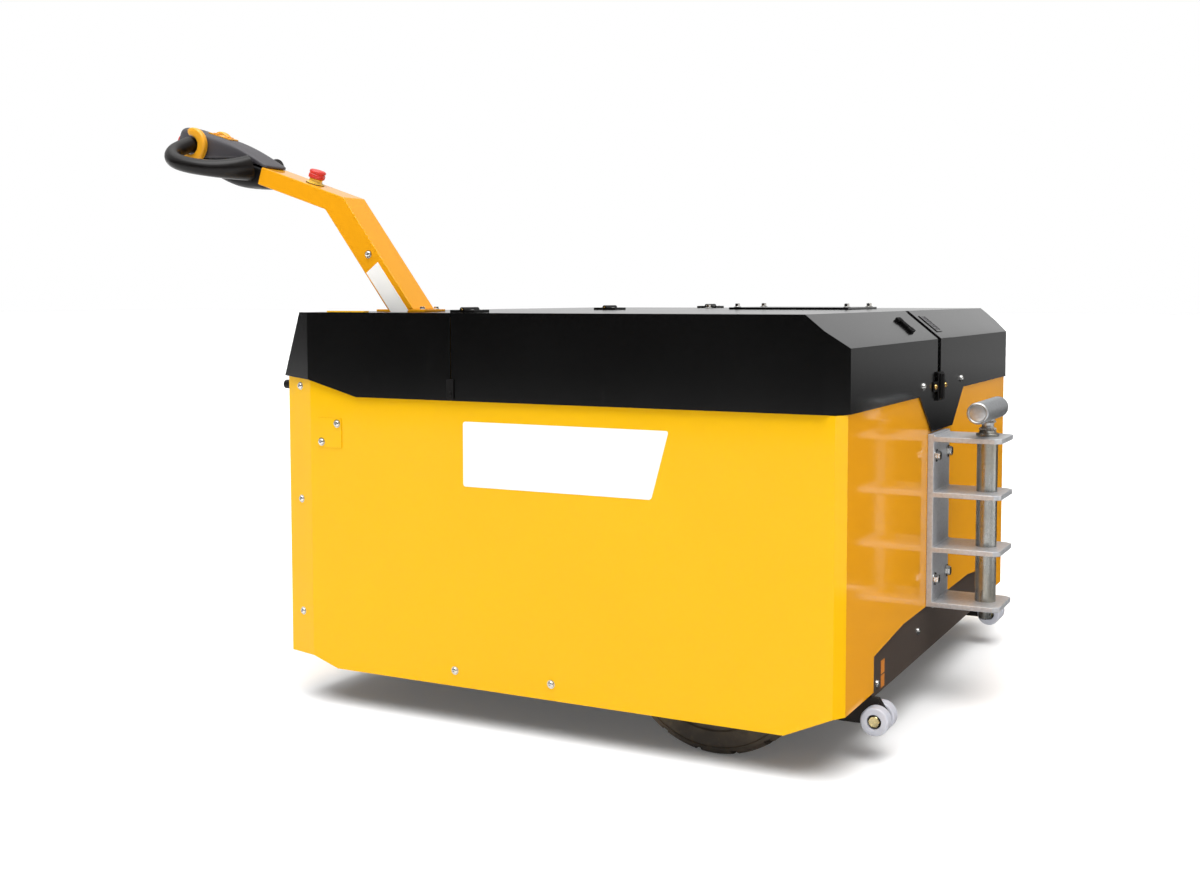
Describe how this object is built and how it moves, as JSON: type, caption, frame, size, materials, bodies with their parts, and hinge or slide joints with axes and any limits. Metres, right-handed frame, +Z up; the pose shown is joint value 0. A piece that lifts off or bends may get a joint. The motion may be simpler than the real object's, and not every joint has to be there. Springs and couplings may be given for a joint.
{
  "type": "walk-behind electric tug",
  "caption": "Low battery tug with a boxy panelled body, black lifting lid, tall pin hitch at the front, guide rollers and an offset steering tiller with loop grips.",
  "frame": {"origin": "on the ground, under the middle of the machine's overall box", "axes": "+X towards the hitch, +Z up, -Y the side that carries the tiller"},
  "size_m": [1.6702, 1.3146, 1.1741],
  "materials": {
    "frame_black": "satin black paint",
    "body_yellow": "gloss yellow paint",
    "cover_black": "gloss black paint",
    "zinc": "bright zinc plate",
    "steel": "bright steel",
    "brass": "plain",
    "tyre_rubber": "matt",
    "seal_rubber": "matt",
    "white_nylon": "smooth",
    "white_label": "film",
    "grey_plastic": "fine grain",
    "black_plastic": "fine grain",
    "yellow_plastic": "smooth",
    "red_plastic": "smooth",
    "battery_case": "smooth",
    "cast_grey": "painted",
    "aluminium": "fins"
  },
  "bodies": {
    "base": {"chassis": "frame_black", "side_panel_right": "body_yellow", "side_panel_left": "body_yellow", "front_panels": "body_yellow", "rear_panel": "body_yellow", "bumper_plate": "frame_black", "body_bolts": "steel", "label_plates": "white_label", "service_plates": "body_yellow", "rear_cover": "cover_black", "cover_seal": "seal_rubber", "hinge_fixed_leaves": "cover_black", "hinge_pins": "brass", "side_clips": "cover_black", "hitch_bracket": "zinc", "hitch_bolts": "steel", "roller_lugs": "frame_black", "roller_bolts": "steel", "gearboxes": "cast_grey", "drive_motors": "cast_grey", "castor_plates": "steel", "batteries": "battery_case", "controller": "aluminium", "charger": "black_plastic", "tiller_bearing": "cast_grey"},
    "lid": {"lid": "cover_black", "hinge_moving_leaves": "cover_black", "latch_base": "cover_black", "lid_bolts": "steel", "lid_trims": "cover_black", "access_plate": "cover_black"},
    "latch": {"latch_handle": "cover_black", "latch_cam": "steel"},
    "knob": {"turn_knob": "cover_black"},
    "switch": {"rear_switch": "black_plastic"},
    "pin": {"hitch_pin": "zinc", "pin_handle": "zinc"},
    "roller_right_outer": {"roller_right_outer": "white_nylon"},
    "roller_right_inner": {"roller_right_inner": "white_nylon"},
    "roller_left_inner": {"roller_left_inner": "white_nylon"},
    "roller_left_outer": {"roller_left_outer": "white_nylon"},
    "drive_wheel_right": {"rim_right": "cast_grey", "tyre_right": "tyre_rubber"},
    "drive_wheel_left": {"rim_left": "cast_grey", "tyre_left": "tyre_rubber"},
    "castor_right": {"castor_fork_right": "steel"},
    "castor_wheel_right": {"castor_wheel_right": "tyre_rubber"},
    "castor_left": {"castor_fork_left": "steel"},
    "castor_wheel_left": {"castor_wheel_left": "tyre_rubber"},
    "tiller": {"tiller_foot": "body_yellow", "tiller_arm": "body_yellow", "tiller_bolts": "steel", "stop_collar": "yellow_plastic", "head_upper": "grey_plastic", "head_lower": "black_plastic", "grips": "black_plastic"},
    "stop": {"stop_button": "red_plastic"},
    "throttle": {"throttle": "yellow_plastic"},
    "belly": {"belly_button": "red_plastic"},
    "rocker": {"rocker": "yellow_plastic"}
  },
  "joints": [
    {"name": "lid_hinge", "type": "hinge", "parent": "base", "child": "lid", "pos_m": [-0.05493, 0, 0.7833], "axis": [0, -1, 0], "range_deg": [0, 80]},
    {"name": "latch_turn", "type": "hinge", "parent": "lid", "child": "latch", "pos_m": [0.69907, -0.037, 0.629], "axis": [1, 0, 0], "range_deg": [0, 90]},
    {"name": "knob_turn", "type": "hinge", "parent": "lid", "child": "knob", "pos_m": [0.66457, -0.173, 0.75035], "axis": [0.6309, 0, 0.7758], "range_deg": [0, 90]},
    {"name": "switch_turn", "type": "hinge", "parent": "base", "child": "switch", "pos_m": [-0.47093, -0.6, 0.632], "axis": [-1, 0, 0], "range_deg": [0, 90]},
    {"name": "pin_lift", "type": "slide", "parent": "base", "child": "pin", "axis": [0, 0, 1], "range_m": [0, 0.33]},
    {"name": "roller_spin_right_outer", "type": "hinge", "parent": "base", "child": "roller_right_outer", "pos_m": [0.70607, -0.4823, 0.073], "axis": [0, 1, 0], "continuous": true},
    {"name": "roller_spin_right_inner", "type": "hinge", "parent": "base", "child": "roller_right_inner", "pos_m": [0.70607, -0.4437, 0.073], "axis": [0, 1, 0], "continuous": true},
    {"name": "drive_spin_right", "type": "hinge", "parent": "base", "child": "drive_wheel_right", "pos_m": [0.44107, -0.535, 0.181], "axis": [0, 1, 0], "continuous": true},
    {"name": "castor_swivel_right", "type": "hinge", "parent": "base", "child": "castor_right", "pos_m": [-0.27093, -0.3, 0.222], "axis": [0, 0, 1], "continuous": true},
    {"name": "castor_spin_right", "type": "hinge", "parent": "castor_right", "child": "castor_wheel_right", "pos_m": [-0.32093, -0.3, 0.1], "axis": [0, 1, 0], "continuous": true},
    {"name": "roller_spin_left_outer", "type": "hinge", "parent": "base", "child": "roller_left_outer", "pos_m": [0.70607, 0.4823, 0.073], "axis": [0, 1, 0], "continuous": true},
    {"name": "roller_spin_left_inner", "type": "hinge", "parent": "base", "child": "roller_left_inner", "pos_m": [0.70607, 0.4437, 0.073], "axis": [0, 1, 0], "continuous": true},
    {"name": "drive_spin_left", "type": "hinge", "parent": "base", "child": "drive_wheel_left", "pos_m": [0.44107, 0.535, 0.181], "axis": [0, 1, 0], "continuous": true},
    {"name": "castor_swivel_left", "type": "hinge", "parent": "base", "child": "castor_left", "pos_m": [-0.27093, 0.3, 0.222], "axis": [0, 0, 1], "continuous": true},
    {"name": "castor_spin_left", "type": "hinge", "parent": "castor_left", "child": "castor_wheel_left", "pos_m": [-0.32093, 0.3, 0.1], "axis": [0, 1, 0], "continuous": true},
    {"name": "tiller_steer", "type": "hinge", "parent": "base", "child": "tiller", "pos_m": [-0.23493, -0.5195, 0.778], "axis": [0, 0, 1], "range_deg": [-60, 60]},
    {"name": "stop_press", "type": "slide", "parent": "tiller", "child": "stop", "axis": [-0.314, 0, -0.9494], "range_m": [0, 0.004], "stiffness_N_per_m": 800},
    {"name": "throttle_turn", "type": "hinge", "parent": "tiller", "child": "throttle", "pos_m": [-0.76327, -0.5195, 1.12915], "axis": [0, 1, 0], "range_deg": [-25, 25], "stiffness_Nm_per_rad": 0.6},
    {"name": "belly_push", "type": "slide", "parent": "tiller", "child": "belly", "axis": [0.9494, 0, -0.314], "range_m": [0, 0.005], "stiffness_N_per_m": 500},
    {"name": "rocker_tilt", "type": "hinge", "parent": "tiller", "child": "rocker", "pos_m": [-0.71569, -0.5195, 1.14565], "axis": [0, 1, 0], "range_deg": [-6, 6], "stiffness_Nm_per_rad": 0.4}
  ]
}
